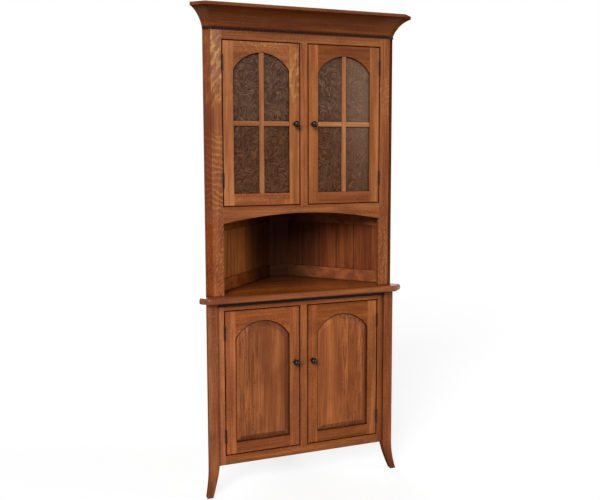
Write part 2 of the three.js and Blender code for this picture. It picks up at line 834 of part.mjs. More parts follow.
addBase();
addUpperCase();
addCrown();
for (const [name, side] of sides) {
  addPanelDoor(side, `lower_door_${name}`);
  addGlazedDoor(side, `upper_door_${name}`);
}

export default cupboard;
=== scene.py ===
"""Looks for the corner cupboard: oak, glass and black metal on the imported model, the pearl
moulding under its crown, the glue in its back mitres, a white studio and the camera. Metres, in
the model's own frame."""

import math

import bmesh
import bpy
from mathutils import Matrix, Vector


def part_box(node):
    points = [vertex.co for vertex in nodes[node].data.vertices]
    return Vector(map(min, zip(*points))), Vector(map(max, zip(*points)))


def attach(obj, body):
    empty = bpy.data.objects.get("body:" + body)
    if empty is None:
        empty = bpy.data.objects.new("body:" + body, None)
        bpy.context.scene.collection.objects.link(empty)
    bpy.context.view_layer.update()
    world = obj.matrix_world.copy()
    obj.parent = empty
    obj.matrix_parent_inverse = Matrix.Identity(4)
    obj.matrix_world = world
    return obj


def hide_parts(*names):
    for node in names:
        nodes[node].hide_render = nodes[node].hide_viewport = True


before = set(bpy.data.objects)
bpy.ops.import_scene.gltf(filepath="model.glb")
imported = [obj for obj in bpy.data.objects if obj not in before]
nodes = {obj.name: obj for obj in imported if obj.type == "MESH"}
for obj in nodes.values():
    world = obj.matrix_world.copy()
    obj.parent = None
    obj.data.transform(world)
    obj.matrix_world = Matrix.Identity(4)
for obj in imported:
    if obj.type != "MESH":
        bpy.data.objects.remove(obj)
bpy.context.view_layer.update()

# Camera, as fitted to the cupboard's edges
CAMERA_PLACE = (-1.07181, -3.31574, 1.54695)
CAMERA_AZIMUTH = 21.0816
CAMERA_PITCH = 5.7321
CAMERA_ROLL = 0.1286
SENSOR_WIDTH = 36.0
LENS = 45.4117
SHIFT = (-0.057642, -0.053333)

# Studio
WORLD_LIGHT = 0.14
FLOOR_SIZE = 60.0
FLOOR_COLOUR = (0.24, 0.24, 0.24, 1.0)
FLOOR_GLOW = 0.79
KEY_LIGHT = {"azimuth": -34.0, "elevation": 30.0, "spread": 30.0, "strength": 3.05}
FILL_LIGHT = {"azimuth": 66.0, "elevation": 12.0, "spread": 26.0, "strength": 1.25}
BACK_LIGHT = {"azimuth": 176.0, "elevation": 15.0, "spread": 40.0, "strength": 2.4}

# Sizes that the model's boxes don't give
DOOR_GAP = 0.0032
HALF_GAP = DOOR_GAP / 2
RETURN_WIDTH = 0.040
RETURN_RUN = RETURN_WIDTH * math.sqrt(0.5)
SKIRTING_HEIGHT = 0.058
NICHE_RAIL_WIDTH = 0.092
BAR_HALF = 0.022 / 2

# Places on the model. Depth plus width is WALL_SUM all over the outer face of a wall.
UPPER_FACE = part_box("upper_top_rail")[0].y
LOWER_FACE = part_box("base_top_rail")[0].y
BACK_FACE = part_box("upper_back_panel")[1].y
CASE_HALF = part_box("corner_post_right")[1].x - RETURN_RUN
WALL_SUM = CASE_HALF + 2 * RETURN_RUN + UPPER_FACE
DOOR_HINGE_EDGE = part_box("base_stile_right")[0].x - DOOR_GAP
NICHE_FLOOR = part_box("counter_top")[1].z
SKIRTING_TOP = NICHE_FLOOR + SKIRTING_HEIGHT
NICHE_RAIL_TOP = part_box("cabinet_floor")[0].z
NICHE_RAIL_BOTTOM = NICHE_RAIL_TOP - NICHE_RAIL_WIDTH
BEAD_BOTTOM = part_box("crown_bead")[0].z
BEAD_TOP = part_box("crown_bead")[1].z

# How far the masks' limits lie from a face or an edge, and the heights over which they fade
SKIN = 0.001
FRONT_SKIN = 0.0002
HINGE_SKIN = 0.0003
EDGE_SKIN = 0.00005
CORNER_REACH = 0.01
ZONE_FADE = 0.03
FOOT_FADE = (0.16, 0.02)

# Painted shade in the gaps round the doors, and between two depths in the niche
GAP_RIM = 0.0015
GAP_DEPTH = 0.012
NICHE_SHADE = (0.06, 0.20)
COUNTER_SHADE = (-0.17, 0.18)
DEEPEST_PAINTED_SHADE = 0.72

# Pearl moulding
PEARL_PITCH = 0.0113
PEARL_RADIUS = 0.0052
PEARL_LIFT = 0.0002
PEARL_SEGMENTS = 16
PEARL_RINGS = 10
FILLET_BACK = 0.0003
FILLET_DEPTH = 0.0022
FILLET_LIP = 0.0009
FILLET_STAIN = (0.0042, 0.0022)

# Glue lines of the mitres between the back panel and the walls
MITRE_TURN = math.pi / 8
GLUE_DEPTHS = (0.001, 0.016)
GLUE_ACROSS = (0.00004, 0.00024)
GLUE_END = 0.001
GLUE_SEED = 80.0
GLUE_TONE = (0.3, 0.25, 0.2)


def srgb(red, green, blue):
    """A colour in 0 to 255 as the linear colour that the shaders take."""
    def linear(value):
        share = value / 255
        return share / 12.92 if share <= 0.04045 else ((share + 0.055) / 1.055) ** 2.4
    return (linear(red), linear(green), linear(blue), 1.0)


class Shader:
    """The node tree of a material or a world, whose nodes are added one by one."""

    def __init__(self, owner):
        owner.use_nodes = True
        self.owner = owner
        self.tree = owner.node_tree
        self.tree.nodes.clear()

    def feed(self, socket, value):
        """Links another node's output to the socket, or sets the socket's own value."""
        if isinstance(value, bpy.types.NodeSocket):
            self.tree.links.new(value, socket)
        else:
            socket.default_value = value

    def add(self, kind, inputs=None, **settings):
        """A new node of the kind, with its settings and inputs."""
        node = self.tree.nodes.new(kind)
        for key, value in settings.items():
            setattr(node, key, value)
        for key, value in (inputs or {}).items():
            self.feed(node.inputs[key], value)
        return node

    def math(self, operation, first, second=0.0):
        return self.add("ShaderNodeMath", {0: first, 1: second}, operation=operation).outputs[0]

    def vector(self, operation, first, second):
        node = self.add("ShaderNodeVectorMath", {0: first, 1: second}, operation=operation)
        return node.outputs["Value" if operation == "DOT_PRODUCT" else "Vector"]

    def coordinates(self):
        return self.add("ShaderNodeTexCoord").outputs["Object"]

    def axes(self, vector):
        return self.add("ShaderNodeSeparateXYZ", {"Vector": vector}).outputs

    def noise(self, vector, scale, output="Fac", detail=2.0, roughness=0.5, distortion=0.0):
        """Noise whose features are finer along an axis where its scale is larger."""
        return self.add("ShaderNodeTexNoise", {
            "Vector": self.vector("MULTIPLY", vector, scale),
            "Scale": 1.0,
            "Detail": detail,
            "Roughness": roughness,
            "Distortion": distortion,
        }).outputs[output]

    def shaken(self, vector, scale, reach, detail=2.0):
        """The vector moved about by noise, by up to half the reach along each axis."""
        shake = self.noise(vector, scale, output="Color", detail=detail)
        shake = self.vector("SUBTRACT", shake, (0.5, 0.5, 0.5))
        return self.vector("ADD", vector, self.vector("MULTIPLY", shake, reach))

    def ramp(self, value, low, high, to_low=0.0, to_high=1.0, smooth=True):
        """The value carried from one range to another, and held at the ends."""
        return self.add("ShaderNodeMapRange", {
            "Value": value,
            "From Min": low,
            "From Max": high,
            "To Min": to_low,
            "To Max": to_high,
        }, interpolation_type="SMOOTHSTEP" if smooth else "LINEAR").outputs["Result"]

    def mix(self, share, first, second, blend="MIX"):
        """Two colours, of which the second shows by the share."""
        node = self.add("ShaderNodeMix", {0: share, 6: first, 7: second},
                        data_type="RGBA", blend_type=blend)
        return node.outputs[2]

    def mix_vectors(self, share, first, second):
        node = self.add("ShaderNodeMix", {0: share, 4: first, 5: second}, data_type="VECTOR")
        return node.outputs[1]

    def mix_surfaces(self, share, first, second):
        return self.add("ShaderNodeMixShader", {0: share, 1: first, 2: second}).outputs["Shader"]

    def eased(self, radius):
        """Normal with the arrises eased over the radius, and how near an arris is."""
        bevel = self.add("ShaderNodeBevel", {"Radius": radius}, samples=6).outputs["Normal"]
        flat = self.add("ShaderNodeNewGeometry").outputs["Normal"]
        return bevel, self.vector("DOT_PRODUCT", bevel, flat)

    def openness(self, reach):
        """One in the open, and less where other faces stand within the reach."""
        hollow = self.add("ShaderNodeAmbientOcclusion", {"Distance": reach}, samples=8)
        return hollow.outputs["AO"]

    def relief(self, height, strength, distance, base=None):
        """Normal of a surface whose height varies by up to the distance, over a base normal."""
        inputs = {"Height": height, "Strength": strength, "Distance": distance}
        if base is not None:
            inputs["Normal"] = base
        return self.add("ShaderNodeBump", inputs).outputs["Normal"]

    def gloss(self, colour, roughness, normal, specular):
        """A surface that is coloured below and clear and glossy on top."""
        return self.add("ShaderNodeBsdfPrincipled", {
            "Base Color": colour,
            "Roughness": roughness,
            "Normal": normal,
            "Specular IOR Level": specular,
        }).outputs["BSDF"]

    def finish(self, surface):
        """Gives the material its surface, and returns the material."""
        self.add("ShaderNodeOutputMaterial", {"Surface": surface})
        return self.owner


def new_shader(name):
    """The shader of a new material."""
    return Shader(bpy.data.materials.new(name))


# Masks: each is one on the part that it is for, and nought elsewhere.

def window(shader, value, low, high):
    """One where the value lies between two limits."""
    above = shader.math("GREATER_THAN", value, low)
    return shader.math("MULTIPLY", above, shader.math("LESS_THAN", value, high))


def faded_window(shader, value, low, high, fade=ZONE_FADE):
    """One where the value lies between two limits, fading out over the given width."""
    rise = shader.ramp(value, low - fade, low + fade)
    return shader.math("MULTIPLY", rise, shader.ramp(value, high + fade, high - fade))


def indoors(shader, board):
    """One inside the cupboard, and nought on the outer faces of its walls and back."""
    across, depth, _ = shader.axes(board)
    total = shader.math("ADD", shader.math("ABSOLUTE", across), depth)
    inner = shader.math("LESS_THAN", total, WALL_SUM - SKIN)
    return shader.math("MULTIPLY", inner, shader.math("LESS_THAN", depth, BACK_FACE - SKIN))


def niche_frame(shader, board):
    """One on the niche's skirting and top rail, whose grain lies flat."""
    height = shader.axes(board)[2]
    skirting = window(shader, height, NICHE_FLOOR - SKIN, SKIRTING_TOP)
    rail = window(shader, height, NICHE_RAIL_BOTTOM, NICHE_RAIL_TOP)
    return shader.math("MULTIPLY", shader.math("ADD", skirting, rail), indoors(shader, board))


def cross_bar(middle, level):
    """Mask of the level bar of a glazing cross, without the upright bar that it crosses."""
    def mask(shader, board):
        across, _, height = shader.axes(board)
        on_bar = window(shader, height, level - BAR_HALF, level + BAR_HALF)
        away = shader.math("ABSOLUTE", shader.math("SUBTRACT", across, middle))
        return shader.math("MULTIPLY", on_bar, shader.math("GREATER_THAN", away, BAR_HALF))
    return mask


def hinge_halves(face):
    """Mask of the hinge halves that a door's hinge stile carries."""
    def mask(shader, board):
        across, depth, _ = shader.axes(board)
        proud = shader.math("LESS_THAN", depth, face - HINGE_SKIN)
        beside = shader.math("GREATER_THAN", shader.math("ABSOLUTE", across),
                             DOOR_HINGE_EDGE + EDGE_SKIN)
        return shader.math("MAXIMUM", proud, beside)
    return mask


def beyond_corner(shader, board):
    """One on a corner post's canted return, past the corner of the front."""
    across, depth, _ = shader.axes(board)
    width = shader.math("ABSOLUTE", across)
    past = shader.math("ADD", width, shader.math("SUBTRACT", UPPER_FACE - CASE_HALF, depth))
    behind = shader.math("SUBTRACT", depth, UPPER_FACE)
    on_front = shader.math("LESS_THAN", behind, FRONT_SKIN)
    return shader.math("MULTIPLY", shader.math("GREATER_THAN", past, -CORNER_REACH),
                       shader.math("SUBTRACT", 1.0, on_front))


def post_zone(on_return, low, high):
    """Mask of a corner post's return, or else of its front, rising from one height to another."""
    def mask(shader, board):
        face = beyond_corner(shader, board)
        if not on_return:
            face = shader.math("SUBTRACT", 1.0, face)
        return shader.math("MULTIPLY", face, shader.ramp(shader.axes(board)[2], low, high))
    return mask


def foot_shade(shader, board):
    """One at the floor, falling to nothing where the foot joins the leg."""
    return shader.ramp(shader.axes(board)[2], *FOOT_FADE)


def behind_pearls(shader, board):
    """One on the flat behind the pearls, and nought on their fronts."""
    across, depth, _ = shader.axes(board)
    width = shader.math("SUBTRACT", shader.math("ABSOLUTE", across), CASE_HALF)
    proud = shader.math("SUBTRACT", UPPER_FACE, depth)
    aside = shader.math("MULTIPLY", shader.math("ADD", width, proud), math.sqrt(0.5))
    return shader.ramp(shader.math("MAXIMUM", proud, aside), *FILLET_STAIN)


def door_opening(level, face):
    """The middle line of the gap round a level's doors: its centre, half sizes and front."""
    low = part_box(f"{level}_door_right_bottom_rail")[0].z - HALF_GAP
    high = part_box(f"{level}_door_right_hinge_stile")[1].z + HALF_GAP
    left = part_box(f"{level}_door_right_meeting_stile")[0].x - HALF_GAP
    right = DOOR_HINGE_EDGE + HALF_GAP
    return {
        "centre": ((left + right) / 2, (low + high) / 2),
        "half": ((right - left) / 2, (high - low) / 2),
        "face": face,
    }


FACES = {"upper": UPPER_FACE, "lower": LOWER_FACE}
OPENINGS = {level: door_opening(level, face) for level, face in FACES.items()}


def gap_shade(shader, board, opening):
    """How much painted shade in a door's gap shows, on the door and round it."""
    across, depth, height = shader.axes(board)
    from_side = shader.math("SUBTRACT", shader.math("ABSOLUTE", across), opening["centre"][0])
    side = shader.math("SUBTRACT", shader.math("ABSOLUTE", from_side), opening["half"][0])
    from_level = shader.math("SUBTRACT", height, opening["centre"][1])
    level = shader.math("SUBTRACT", shader.math("ABSOLUTE", from_level), opening["half"][1])
    away = shader.math("ABSOLUTE", shader.math("MAXIMUM", side, level))
    rim = shader.ramp(away, HALF_GAP + GAP_RIM, HALF_GAP + 0.5 * GAP_RIM)
    face = opening["face"]
    front = shader.ramp(depth, face + GAP_DEPTH, face + 0.5 * GAP_DEPTH)
    return shader.math("MULTIPLY", rim, front)


def slope_shade(shader):
    """Painted shade on the slopes of a raised panel, most on those that face right or down, some
    on those that face up, none on those that face left.
    """
    soft = shader.add("ShaderNodeBevel", {"Radius": SLOPE_SOFTNESS}, samples=6)
    normal = shader.add("ShaderNodeVectorTransform", {"Vector": soft.outputs["Normal"]},
                        vector_type="NORMAL", convert_from="WORLD", convert_to="OBJECT")
    right, _, up = shader.axes(normal.outputs["Vector"])
    rightwards = shader.math("ADD", right, shader.math("MULTIPLY", up, SLOPE_RISE))
    downwards = shader.math("MULTIPLY", up, -SLOPE_FALL)
    return shader.ramp(shader.math("MAXIMUM", rightwards, downwards), *SLOPE_RANGE)


# Ray fleck: each kind is drawn on the turned place, whose z runs along the grain, and may also
# use the place on the board as it stands. Scales of noise are in features per metre.

RIB_SPACING = 0.026
RIB_FALL = 0.30
RIB_SWAY = 0.06


def ribs(shader, place, board):
    """Ray fleck in long curved bars across the grain, falling to the right."""
    across, _, height = shader.axes(board)
    sway = shader.noise(place, (24.0, 24.0, 11.0), detail=1.5)
    level = shader.math("ADD", height, shader.math("MULTIPLY", across, RIB_FALL))
    level = shader.math("ADD", level, shader.math("MULTIPLY", sway, RIB_SWAY))
    bars = shader.math("SINE", shader.math("MULTIPLY", level, 2 * math.pi / RIB_SPACING))
    width = shader.noise(place, (60.0, 60.0, 60.0))
    bars = shader.math("ADD", bars, shader.math("MULTIPLY", width, 2.2))
    return shader.ramp(bars, 1.2, 2.3)


def mottle(shader, place, _board):
    """Ray fleck in golden clouds that lean to the upper right."""
    across, depth, height = shader.axes(place)
    leaning = shader.add("ShaderNodeCombineXYZ", {
        "X": across,
        "Y": depth,
        "Z": shader.math("SUBTRACT", height, shader.math("MULTIPLY", across, 0.7)),
    }).outputs["Vector"]
    clouds = shader.noise(leaning, (42.0, 42.0, 34.0), detail=2.5, roughness=0.6)
    strands = shader.noise(place, (420.0, 420.0, 22.0), detail=1.0)
    clouds = shader.math("ADD", clouds, shader.math("MULTIPLY", strands, 0.25))
    return shader.ramp(clouds, 0.54, 0.84)


def leaves(shader, place, _board):
    """Ray fleck in small leaves that lie across the grain at a slant."""
    leaning = shader.add("ShaderNodeMapping", {
        "Vector": place,
        "Rotation": (0.0, -0.5, 0.0),
    }).outputs["Vector"]
    shapes = shader.noise(leaning, (190.0, 190.0, 62.0), detail=1.5)
    return shader.ramp(shapes, 0.54, 0.68)


def ticks(shader, place, _board):
    """Ray fleck in short strokes straight across the grain."""
    shapes = shader.noise(place, (85.0, 85.0, 260.0), detail=1.5)
    return shader.ramp(shapes, 0.56, 0.70)


def ray_fleck(shader, place, board, look):
    """The strongest at each spot of all the kinds that a look names, each over its heights."""
    fleck = None
    for kind, strength, zone in look["figures"]:
        share = shader.math("MULTIPLY", kind(shader, place, board), strength)
        if zone:
            height = shader.axes(board)[2]
            share = shader.math("MULTIPLY", share, faded_window(shader, height, *zone))
        if "plain" in look:
            mask, loss = look["plain"]
            lost = shader.math("MULTIPLY", mask(shader, board), loss)
            share = shader.math("MULTIPLY", share, shader.math("SUBTRACT", 1.0, lost))
        fleck = share if fleck is None else shader.math("MAXIMUM", fleck, share)
    return fleck


# Oak. A look's figures are (kind, strength, heights), its plain part is (mask, loss of fleck)
# and its more_tones are (mask, tone). Its held is how glancing a view has to be for the gloss
# to start to fade, and to be gone.

GRAIN_TURNS = {
    "z": (0.0, 0.0, 0.0),
    "x": (0.0, -math.pi / 2, 0.0),
}
SEED_MOVE = (1.37, 0.71, 2.93)
CROSS_SEED = 5.3
GRAIN_BEND = 0.03
RING_SHAKE = 0.009
RAGGED_SHARE = 0.6
PIT_SHARE = 0.4
FLECK_SHINE = -0.06
FLECK_HEIGHT = 0.3
GRAIN_STRENGTH = 0.3
GRAIN_RELIEF = 0.0004
WORN_FACING = (0.99, 0.86)
GLAZE_AND_SHADE_FADE = 0.40
SLOPE_SOFTNESS = 0.009
SLOPE_RISE = 0.9
SLOPE_FALL = 1.25
SLOPE_RANGE = (0.04, 0.27)
SLOPE_PAINTED_SHADE = srgb(52, 16, 8)
GAP_PAINTED_SHADE = srgb(58, 8, 1)
WOOD_COLOURS = ("dark", "light", "deep", "line_colour", "fleck_colour", "worn_colour")
OAK = {
    "dark": srgb(131, 70, 37), "light": srgb(172, 100, 56), "deep": srgb(119, 58, 32),
    "line_colour": srgb(90, 43, 22), "fleck_colour": srgb(213, 150, 93),
    "worn_colour": srgb(195, 131, 96), "glaze_and_shade_colour": srgb(20, 8, 4),
    "lines": 0.42, "figures": (), "wear": 0.35, "glaze_and_shade": 0.9, "glaze_and_shade_reach": 0.014,
    "glaze_and_shade_start": 0.80, "easing": 0.0012, "gloss": 0.38, "sheen": 0.15,
    "held": (0.35, 0.62), "more_tones": (), "openings": (),
}
LOOKS = {
    "case": {**OAK, "figures": ((ticks, 0.18, None),)},
    "door": {**OAK, "lines": 0.34, "wear": 0.12, "figures": ((ticks, 0.10, None),)},
    "base": {**OAK, "lines": 0.45, "wear": 0.20, "figures": ((ticks, 0.16, None),)},
    "panel": {**OAK, "lines": 0.40, "wear": 0.2},
    "inside": {**OAK, "wear": 0.15, "glaze_and_shade_start": 0.86, "gloss": 0.55, "sheen": 0.08},
}


def turned(shader, board, grain, seed):
    """Coordinates with the grain along z, moved by the seed so that no two boards match."""
    return shader.add("ShaderNodeMapping", {
        "Vector": board,
        "Rotation": GRAIN_TURNS[grain],
        "Location": tuple(move * seed for move in SEED_MOVE),
    }).outputs["Vector"]


def ragged(shader, place, board, low, high):
    """Dark ragged growth rings of a flat-sawn board, between two distances from the middle."""
    shaken = shader.shaken(place, (60.0, 60.0, 110.0), (RING_SHAKE, RING_SHAKE, 0.0))
    rings = shader.ramp(shader.noise(shaken, (150.0, 150.0, 9.0), detail=1.0), 0.50, 0.60)
    band = faded_window(shader, shader.axes(board)[0], low, high)
    return shader.math("MULTIPLY", rings, band)


def sawn_oak(shader, place, board, look):
    """Colour, roughness and height of sawn oak whose grain runs along the place's z."""
    along = shader.shaken(place, (2.2, 2.2, 0.8), (GRAIN_BEND, GRAIN_BEND, 0.0), detail=1.0)
    broad = shader.noise(along, (30.0, 30.0, 1.6), detail=3.0, roughness=0.6)
    rings = shader.noise(along, (230.0, 230.0, 5.0), detail=3.0, roughness=0.7)
    pores = shader.noise(along, (1300.0, 1300.0, 55.0), detail=1.0)
    patches = shader.noise(place, (9.0, 9.0, 6.0), detail=3.0, roughness=0.6)

    colour = shader.mix(shader.ramp(broad, 0.32, 0.68), look["dark"], look["light"])
    colour = shader.mix(shader.ramp(patches, 0.45, 0.75, 0.0, 0.5), colour, look["deep"])
    lines = shader.math("MULTIPLY", shader.ramp(rings, 0.44, 0.64), look["lines"])
    colour = shader.mix(lines, colour, look["line_colour"])
    if "ragged" in look:
        share = ragged(shader, place, board, *look["ragged"])
        share = shader.math("MULTIPLY", share, RAGGED_SHARE)
        colour = shader.mix(share, colour, look["line_colour"])
    fleck = ray_fleck(shader, place, board, look)
    if fleck is not None:
        colour = shader.mix(fleck, colour, look["fleck_colour"])
    pits = shader.ramp(pores, 0.60, 0.72)
    colour = shader.mix(shader.math("MULTIPLY", pits, PIT_SHARE), colour, look["line_colour"])

    rough = shader.ramp(rings, 0.3, 0.7, look["gloss"], look["gloss"] + 0.10)
    height = shader.math("SUBTRACT", shader.math("MULTIPLY", rings, 0.5), pits)
    if fleck is not None:
        rough = shader.math("ADD", rough, shader.math("MULTIPLY", fleck, FLECK_SHINE))
        height = shader.math("ADD", height, shader.math("MULTIPLY", fleck, FLECK_HEIGHT))
    return colour, rough, height


def finish_wood(shader, colour, rough, height, board, look):
    """Eases the arrises, rubs them lighter, darkens the corners with glazing and painted shade,
    paints shade deep in the niche, on slopes and in gaps, and lacquers the wood.
    """
    normal, facing = shader.eased(look["easing"])
    worn = shader.math("MULTIPLY", shader.ramp(facing, *WORN_FACING), look["wear"])
    colour = shader.mix(worn, colour, look["worn_colour"])
    # Glazing and painted shade: darker where other faces stand near, as in corners, grooves and
    # gaps
    start = look["glaze_and_shade_start"]
    glaze_and_shade_share = shader.ramp(shader.openness(look["glaze_and_shade_reach"]), start, start - GLAZE_AND_SHADE_FADE)
    glaze_and_shade_share = shader.math("MULTIPLY", glaze_and_shade_share, look["glaze_and_shade"])
    colour = shader.mix(glaze_and_shade_share, colour, look["glaze_and_shade_colour"])
    # Painted shade: darker the deeper a place lies, inside the niche and on the counter
    if "deepening" in look:
        deep = shader.ramp(shader.axes(board)[1], *look["deepening"], 0.0, DEEPEST_PAINTED_SHADE)
        deep = shader.math("MULTIPLY", deep, indoors(shader, board))
        colour = shader.mix(deep, colour, look["glaze_and_shade_colour"])
    # Painted shade on the panel's slopes
    if "slopes" in look:
        share = shader.math("MULTIPLY", slope_shade(shader), look["slopes"])
        colour = shader.mix(share, colour, SLOPE_PAINTED_SHADE)
    # Painted shade in the gaps round the doors
    for opening in look["openings"]:
        colour = shader.mix(gap_shade(shader, board, opening), colour, GAP_PAINTED_SHADE)
    bump = shader.relief(height, GRAIN_STRENGTH, GRAIN_RELIEF, normal)
    lacquered = shader.gloss(colour, rough, bump, look["sheen"])
    bare = shader.add("ShaderNodeBsdfDiffuse", {"Color": colour, "Normal": bump}).outputs["BSDF"]
    glancing = shader.add("ShaderNodeLayerWeight", {"Blend": 0.5}).outputs["Facing"]
    return shader.mix_surfaces(shader.ramp(glancing, *look["held"]), lacquered, bare)


def toned(look, tone):
    """A look whose wood colours are all multiplied by one tone, for a board of its own colour."""
    changed = dict(look)
    for key in WOOD_COLOURS:
        changed[key] = tuple(value * share for value, share in zip(look[key], (*tone, 1.0)))
    return changed


def wood(name, look_name, grain, seed, tone=(1.0, 1.0, 1.0), **changes):
    """Oak for one piece. A piece with boards that cross names the mask of the cross boards, and
    one that carries metal the mask of the metal."""
    look = toned({**LOOKS[look_name], **changes}, tone)
    shader = new_shader(name)
    board = shader.coordinates()
    place = turned(shader, board, grain, seed)
    if "cross" in look:
        crossing = turned(shader, board, "x" if grain == "z" else "z", seed + CROSS_SEED)
        place = shader.mix_vectors(look["cross"](shader, board), place, crossing)
    colour, rough, height = sawn_oak(shader, place, board, look)
    for mask, second in look["more_tones"]:
        colour = shader.mix(mask(shader, board), colour, (*second, 1.0), blend="MULTIPLY")
    surface = finish_wood(shader, colour, rough, height, board, look)
    if "metal" in look:
        metal = black_lacquer(shader, board)
        surface = shader.mix_surfaces(look["metal"](shader, board), surface, metal)
    return shader.finish(surface)


# Black metal and black wood

METAL_EASING = 0.002
METAL_RELIEF = 0.0002
EBONY_SEED = 3.0
EBONY_EASING = 0.0012
EBONY_RELIEF = 0.0003


def black_lacquer(shader, place):
    """Black lacquered metal, with faint cloudiness and rubbed arrises."""
    normal, facing = shader.eased(METAL_EASING)
    cloud = shader.noise(place, (90.0, 90.0, 90.0), detail=3.0)
    colour = shader.mix(cloud, srgb(6, 6, 6), srgb(18, 17, 16))
    worn = shader.math("MULTIPLY", shader.ramp(facing, 0.94, 0.75), 0.2)
    colour = shader.mix(worn, colour, srgb(88, 80, 72))
    speck = shader.noise(place, (900.0, 900.0, 900.0))
    bump = shader.relief(speck, 0.12, METAL_RELIEF, normal)
    rough = shader.ramp(cloud, 0.3, 0.7, 0.07, 0.14)
    return shader.gloss(colour, rough, bump, 0.22)


def black_metal(name):
    """Material of a piece that is metal all over."""
    shader = new_shader(name)
    return shader.finish(black_lacquer(shader, shader.coordinates()))


def ebonised(name, bare=None):
    """Black stained wood: grain shows as faint brown lines under the lacquer. The staining has
    missed the places that the bare mask gives."""
    shader = new_shader(name)
    place = shader.coordinates()
    along = turned(shader, place, "x", EBONY_SEED)
    rings = shader.noise(along, (260.0, 260.0, 5.0), detail=3.0, roughness=0.6)
    colour = shader.mix(shader.ramp(rings, 0.4, 0.65), srgb(12, 10, 9), srgb(32, 25, 21))
    normal, facing = shader.eased(EBONY_EASING)
    worn = shader.math("MULTIPLY", shader.ramp(facing, 0.99, 0.85), 0.3)
    colour = shader.mix(worn, colour, srgb(92, 66, 50))
    if bare:
        colour = shader.mix(bare(shader, place), colour, srgb(92, 50, 30))
    bump = shader.relief(rings, 0.2, EBONY_RELIEF, normal)
    rough = shader.ramp(rings, 0.3, 0.7, 0.32, 0.45)
    return shader.finish(shader.gloss(colour, rough, bump, 0.12))


# Glass: its milk is warmer low down, and a painted reflection lightens it above and to one side.

GLASS_SEED_MOVE = (0.31, 0.0, 0.47)
GLASS_WARM_HEIGHTS = (1.75, 1.50)
GLASS_REFLECTION_HEIGHTS = (1.35, 1.7)
GLASS_RELIEF = 0.001
GLASS_SHADE_REACH = 0.06
CHIP_SCALE = 26.0
CHIP_WARP = 0.03


def chip_strokes(shader, flat):
    """Noise in fern-like strokes, laid in patches that each run their own way."""
    bent = shader.shaken(flat, (30.0, 0.0, 30.0), (CHIP_WARP, 0.0, CHIP_WARP))
    cells = shader.add("ShaderNodeTexVoronoi", {
        "Vector": bent,
        "Scale": CHIP_SCALE,
    }, feature="F1").outputs
    pick = shader.add("ShaderNodeSeparateColor", {"Color": cells["Color"]}).outputs[0]
    swung = shader.add("ShaderNodeVectorRotate", {
        "Vector": shader.vector("SUBTRACT", bent, cells["Position"]),
        "Axis": (0.0, 1.0, 0.0),
        "Angle": shader.math("MULTIPLY", pick, 2 * math.pi),
    }, rotation_type="AXIS_ANGLE").outputs["Vector"]
    shifted = shader.vector("ADD", swung, cells["Color"])
    return shader.noise(shifted, (250.0, 1.0, 40.0), detail=1.0, distortion=0.2)


def milk_colour(shader, place, flat, stroke, reflection_span):
    """Colour of the glass where it scatters light: pale strokes, painted shade beside the frame,
    and a painted reflection that lightens it above and to one side.
    """
    across, _, height = shader.axes(place)
    warmth = shader.noise(flat, (17.0, 0.0, 11.0))
    low_down = shader.ramp(height, *GLASS_WARM_HEIGHTS, -0.25, 0.25)
    warm = shader.ramp(shader.math("ADD", warmth, low_down), 0.25, 0.75)
    between = shader.mix(warm, srgb(80, 55, 41), srgb(79, 46, 28))
    on_stroke = shader.mix(warm, srgb(123, 89, 66), srgb(113, 72, 46))
    colour = shader.mix(stroke, between, on_stroke)
    # Painted reflection: the milk lighter above and to one side
    painted_reflection = shader.ramp(height, *GLASS_REFLECTION_HEIGHTS, 0.20, 0.85)
    painted_reflection = shader.math("MULTIPLY", shader.ramp(across, *reflection_span), painted_reflection)
    colour = shader.mix(painted_reflection, colour, srgb(141, 107, 85))
    # Painted shade on the glass next to the frame and bars
    edge = shader.ramp(shader.openness(GLASS_SHADE_REACH), 0.82, 0.38, 0.0, 0.85)
    return shader.mix(edge, colour, srgb(28, 18, 14))


def chipped_glass(name, seed, reflection_span):
    """Glue-chip glass. The reflection span is where a painted reflection lightens the pane, from
    one distance along the front to another."""
    shader = new_shader(name)
    place = shader.coordinates()
    flat = shader.vector("MULTIPLY", place, (1.0, 0.0, 1.0))
    flat = shader.vector("ADD", flat, tuple(move * seed for move in GLASS_SEED_MOVE))
    strokes = chip_strokes(shader, flat)
    blotch = shader.ramp(shader.noise(flat, (34.0, 0.0, 24.0)), 0.30, 0.66, 0.65, 1.0)
    stroke = shader.math("MULTIPLY", shader.ramp(strokes, 0.36, 0.70), blotch)
    colour = milk_colour(shader, place, flat, stroke, reflection_span)
    bump = shader.relief(strokes, 0.4, GLASS_RELIEF)
    rough = shader.ramp(strokes, 0.3, 0.7, 0.34, 0.22)
    milk = shader.gloss(colour, rough, bump, 0.18)
    clear = shader.add("ShaderNodeBsdfTransparent", {"Color": srgb(170, 134, 106)}).outputs["BSDF"]
    milky = shader.ramp(stroke, 0.0, 1.0, 0.60, 0.90, smooth=False)
    return shader.finish(shader.mix_surfaces(milky, clear, milk))


# The case. A tone multiplies the colours of a board's look, and a seed moves its grain.

